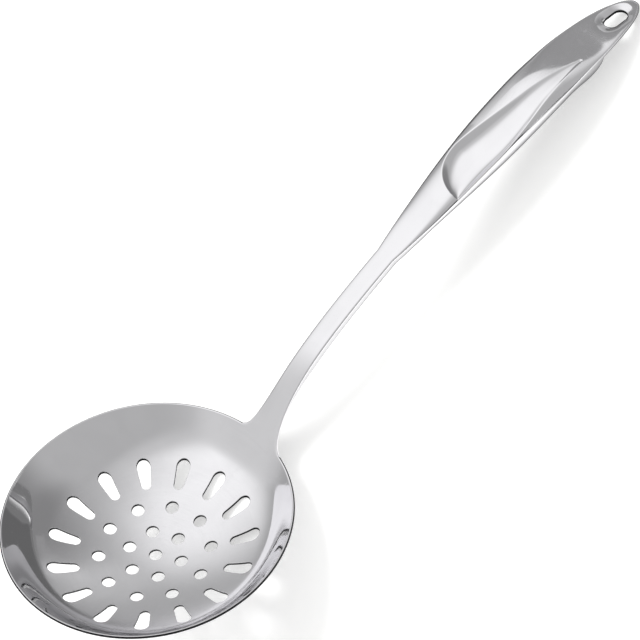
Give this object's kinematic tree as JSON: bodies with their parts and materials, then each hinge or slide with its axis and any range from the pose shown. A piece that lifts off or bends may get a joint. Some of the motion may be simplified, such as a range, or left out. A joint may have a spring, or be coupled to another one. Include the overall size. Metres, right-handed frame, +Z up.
{
  "type": "slotted spoon",
  "caption": "Round slotted skimming spoon of polished steel with a bent neck, a swelling grip with a thumb recess and a flat tip with a hanging hole.",
  "frame": {"origin": "centre of the bounding box's bottom, on the surface that the spoon lies on", "axes": "+X along the spoon towards the handle's tip, +Z up from the surface, +Y to the left of the handle seen from the bowl"},
  "size_m": [0.332, 0.1162, 0.0656],
  "materials": {
    "stainless_steel": "polished, with satin brushed floor and face"
  },
  "bodies": {
    "root": {"slotted_spoon": "stainless_steel"}
  },
  "joints": []
}
